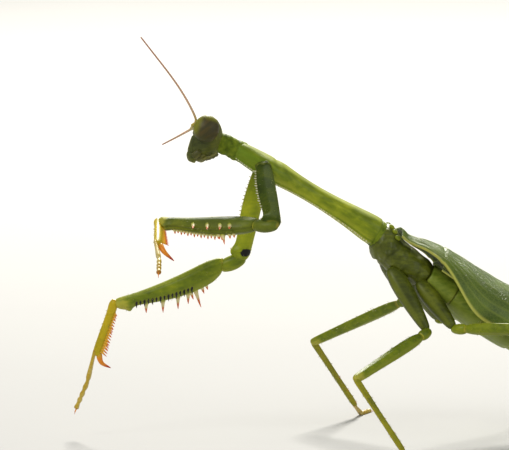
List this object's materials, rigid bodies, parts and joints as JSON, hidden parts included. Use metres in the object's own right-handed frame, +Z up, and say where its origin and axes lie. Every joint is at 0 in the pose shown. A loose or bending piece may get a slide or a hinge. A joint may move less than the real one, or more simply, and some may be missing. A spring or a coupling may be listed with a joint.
{
  "type": "praying mantis",
  "caption": "Large green praying mantis, life size, standing on its walking legs, body raised, a foreleg reaching down and the nearer one folded out sideways.",
  "frame": {"origin": "on the floor under the middle of the model's bounding box", "axes": "+Z up; the head faces -Y and the abdomen points to +Y; the animal's left side is +X"},
  "size_m": [0.0546, 0.0832, 0.0561],
  "materials": {
    "head_cuticle": "satin olive green cuticle",
    "mouthparts": "satin yellow-green cuticle",
    "eye": "glossy, finely faceted, olive brown with a paler rim",
    "antenna": "matt, finely ringed, rose brown",
    "trunk_cuticle": "satin leaf green, finely granulated",
    "membrane": "soft, finely wrinkled skin, pale green",
    "forewing": "leathery, netted with veins, leaf green",
    "hindwing": "thin, pleated, pale green",
    "foreleg_cuticle": "satin green with cream spines tipped orange",
    "walking_leg_cuticle": "satin green, finely haired",
    "foot": "satin yellow with brown joints"
  },
  "bodies": {
    "root": {"abdomen_1": "membrane", "abdomen_2": "membrane", "abdomen_3": "membrane", "abdomen_4": "membrane", "abdomen_5": "membrane", "abdomen_6": "membrane", "abdomen_7": "membrane", "abdomen_tip": "trunk_cuticle", "antenna_l": "antenna", "antenna_r": "antenna", "cercus_l": "mouthparts", "cercus_r": "mouthparts", "eye_l": "eye", "eye_r": "eye", "fore_coxa_l": "foreleg_cuticle", "fore_coxa_r": "foreleg_cuticle", "fore_femur_l": "foreleg_cuticle", "fore_femur_r": "foreleg_cuticle", "fore_tarsus_l": "foot", "fore_tarsus_r": "foot", "fore_tibia_l": "foreleg_cuticle", "fore_tibia_r": "foreleg_cuticle", "fore_trochanter_l": "foreleg_cuticle", "fore_trochanter_r": "foreleg_cuticle", "head": "head_cuticle", "hind_coxa_l": "walking_leg_cuticle", "hind_coxa_r": "walking_leg_cuticle", "hind_femur_l": "walking_leg_cuticle", "hind_femur_r": "walking_leg_cuticle", "hind_tarsus_l": "foot", "hind_tarsus_r": "foot", "hind_tibia_l": "walking_leg_cuticle", "hind_tibia_r": "walking_leg_cuticle", "hind_trochanter_l": "walking_leg_cuticle", "hind_trochanter_r": "walking_leg_cuticle", "hindwing_l": "hindwing", "hindwing_r": "hindwing", "labrum": "mouthparts", "mandibles": "mouthparts", "mesothorax": "trunk_cuticle", "metathorax": "trunk_cuticle", "mid_coxa_l": "walking_leg_cuticle", "mid_coxa_r": "walking_leg_cuticle", "mid_femur_l": "walking_leg_cuticle", "mid_femur_r": "walking_leg_cuticle", "mid_tarsus_l": "foot", "mid_tarsus_r": "foot", "mid_tibia_l": "walking_leg_cuticle", "mid_tibia_r": "walking_leg_cuticle", "mid_trochanter_l": "walking_leg_cuticle", "mid_trochanter_r": "walking_leg_cuticle", "neck": "membrane", "palp_l": "mouthparts", "palp_r": "mouthparts", "prothorax": "trunk_cuticle", "tegmen_l": "forewing", "tegmen_r": "forewing"}
  },
  "joints": []
}
